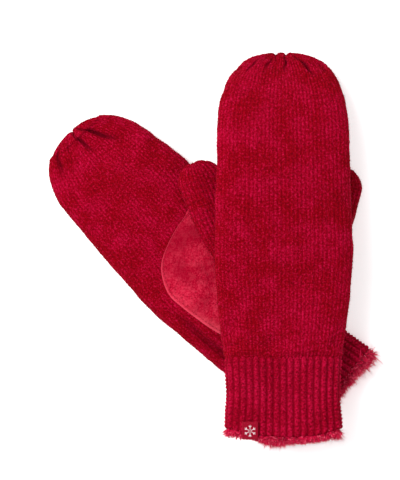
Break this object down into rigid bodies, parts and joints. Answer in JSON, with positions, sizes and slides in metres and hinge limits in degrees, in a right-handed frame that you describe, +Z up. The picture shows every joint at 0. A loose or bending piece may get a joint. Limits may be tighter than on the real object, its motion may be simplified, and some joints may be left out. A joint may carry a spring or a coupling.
{
  "type": "lined knitted mittens",
  "caption": "Pair of plush-lined chenille-knit mittens with ribbed cuffs and suede palm patches, lying one across the other, with folding finger ends and swinging thumbs.",
  "frame": {"origin": "middle of the whole pair's box, at the level of the surface they lie on", "axes": "+Z up, +Y along the upper mitten from its cuff to its finger tip, +X across it towards its thumb side"},
  "size_m": [0.2368, 0.2804, 0.0537],
  "materials": {
    "chenille": "dark crimson chenille knit, matt, with a short soft pile",
    "rib_knit": "dark crimson ribbed chenille knit, matt",
    "plush": "bright crimson-pink deep pile plush",
    "suede": "raspberry-red microfibre suede, rubbed and mottled",
    "thread": "matching red thread and yarn",
    "woven_label": "dark red woven tape with a pale embroidered snowflake"
  },
  "bodies": {
    "right_hand": {"right_hand_shell": "chenille", "right_rib_cuff": "rib_knit", "right_hand_lining": "plush", "right_plush_hem": "plush", "right_hem_thread": "thread", "right_palm_patch": "suede", "right_patch_thread": "thread", "right_thumb_seam": "thread"},
    "right_fingers": {"right_finger_shell": "chenille", "right_finger_lining": "plush", "right_tip_gather_yarn": "thread"},
    "right_thumb": {"right_thumb_shell": "chenille", "right_thumb_lining": "plush"},
    "left_hand": {"left_hand_shell": "chenille", "left_rib_cuff": "rib_knit", "left_hand_lining": "plush", "left_plush_hem": "plush", "left_hem_thread": "thread", "left_palm_patch": "suede", "left_patch_thread": "thread", "left_thumb_seam": "thread", "left_woven_label": "woven_label", "left_label_thread": "thread"},
    "left_fingers": {"left_finger_shell": "chenille", "left_finger_lining": "plush", "left_tip_gather_yarn": "thread"},
    "left_thumb": {"left_thumb_shell": "chenille", "left_thumb_lining": "plush"}
  },
  "joints": [
    {"name": "left_mitten_lift", "type": "slide", "parent": "right_hand", "child": "left_hand", "axis": [0, 0, 1], "range_m": [0, 0.08]},
    {"name": "right_finger_fold", "type": "hinge", "parent": "right_hand", "child": "right_fingers", "pos_m": [-0.05627, 0.03176, 0.0196], "axis": [0.7431, 0.6691, 0], "range_deg": [0, 75]},
    {"name": "left_finger_fold", "type": "hinge", "parent": "left_hand", "child": "left_fingers", "pos_m": [0.04603, 0.06859, 0.04639], "axis": [0.9892, 0, -0.1465], "range_deg": [0, 75]},
    {"name": "right_thumb_swing", "type": "hinge", "parent": "right_hand", "child": "right_thumb", "pos_m": [0.01165, -0.00733, 0.02244], "axis": [0, 0, 1], "range_deg": [0, 40]},
    {"name": "left_thumb_swing", "type": "hinge", "parent": "left_hand", "child": "left_thumb", "pos_m": [0.07203, -0.00591, 0.02265], "axis": [0, 0, 1], "range_deg": [-30, 35]}
  ]
}
